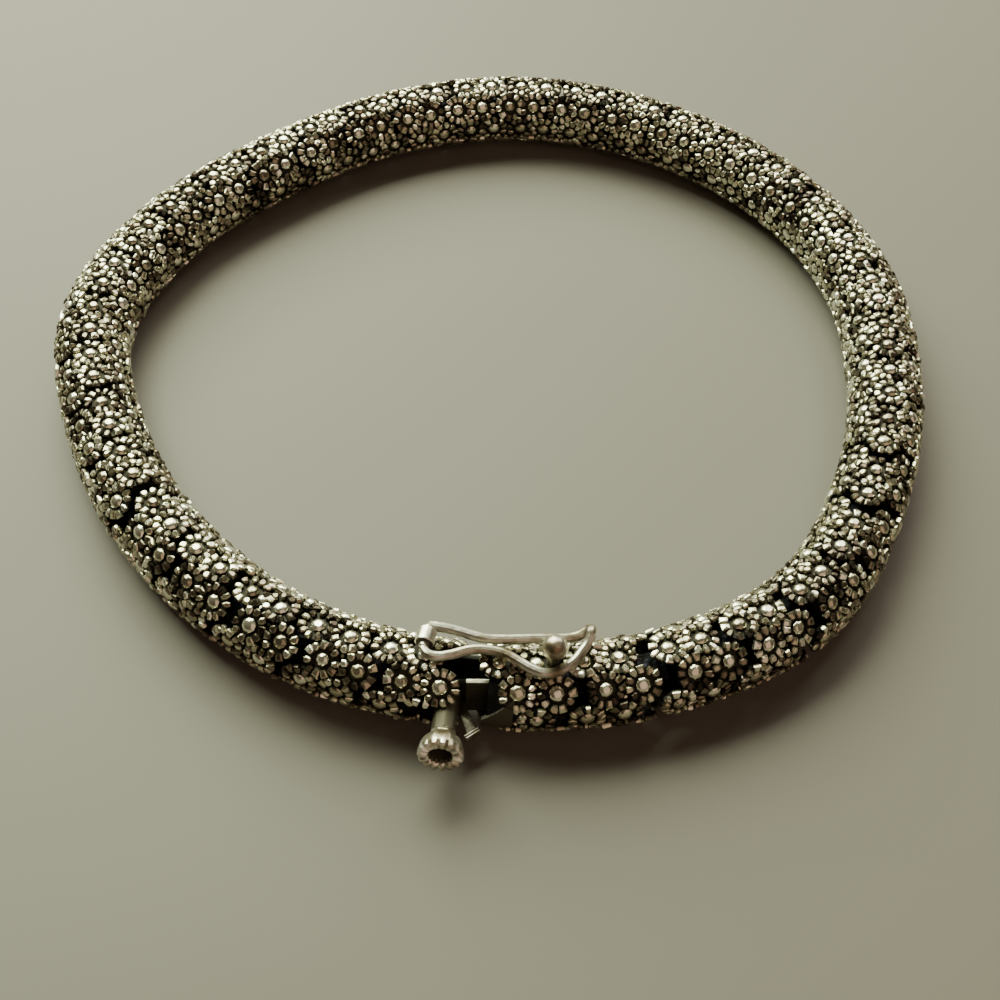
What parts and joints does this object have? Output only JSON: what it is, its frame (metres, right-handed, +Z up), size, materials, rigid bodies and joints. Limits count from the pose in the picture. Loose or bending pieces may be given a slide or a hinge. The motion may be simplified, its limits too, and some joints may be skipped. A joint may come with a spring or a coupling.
{
  "type": "rosette rope bracelet with box clasp",
  "caption": "Flexible round bracelet of short barrel links covered in stone-set rosettes, with a box clasp, thumb-piece and wire safety catch.",
  "frame": {"origin": "under the middle of the lying bracelet, on the surface it rests on", "axes": "+Z up through the loop, -Y towards the clasp, +X to the right of the clasp seen from outside"},
  "size_m": [0.067, 0.0698, 0.0079],
  "materials": {
    "oxidised_silver": "oxidised, worn bright on the high points",
    "worn_silver": "polished and worn",
    "dark_chain": "blackened"
  },
  "bodies": {
    "bracelet": {"link_01": "oxidised_silver", "link_02": "oxidised_silver", "link_03": "oxidised_silver", "link_04": "oxidised_silver", "link_05": "oxidised_silver", "link_06": "oxidised_silver", "link_07": "oxidised_silver", "link_08": "oxidised_silver", "link_09": "oxidised_silver", "link_10": "oxidised_silver", "link_11": "oxidised_silver", "link_12": "oxidised_silver", "link_13": "oxidised_silver", "link_14": "oxidised_silver", "link_15": "oxidised_silver", "link_16": "oxidised_silver", "link_17": "oxidised_silver", "link_18": "oxidised_silver", "link_19": "oxidised_silver", "link_20": "oxidised_silver", "link_21": "oxidised_silver", "link_22": "oxidised_silver", "link_23": "oxidised_silver", "link_24": "oxidised_silver", "link_25": "oxidised_silver", "link_26": "oxidised_silver", "link_27": "oxidised_silver", "link_28": "oxidised_silver", "link_29": "oxidised_silver", "link_30": "oxidised_silver", "link_31": "oxidised_silver", "link_32": "oxidised_silver", "link_33": "oxidised_silver", "link_34": "oxidised_silver", "link_35": "oxidised_silver", "inner_chain": "dark_chain", "tongue_link": "oxidised_silver", "clasp_box": "oxidised_silver"},
    "thumb": {"thumb_spring": "worn_silver"},
    "catch": {"safety_catch": "worn_silver"}
  },
  "joints": [
    {"name": "thumb_press", "type": "hinge", "parent": "bracelet", "child": "thumb", "pos_m": [0.00497, -0.02915, 0.0028], "axis": [0, 0, -1], "range_deg": [0, 5], "stiffness_Nm_per_rad": 0.3},
    {"name": "safety_catch_hinge", "type": "hinge", "parent": "bracelet", "child": "catch", "pos_m": [-0.00264, -0.02755, 0.006], "axis": [-0.1492, -0.9888, 0], "range_deg": [0, 120]}
  ]
}
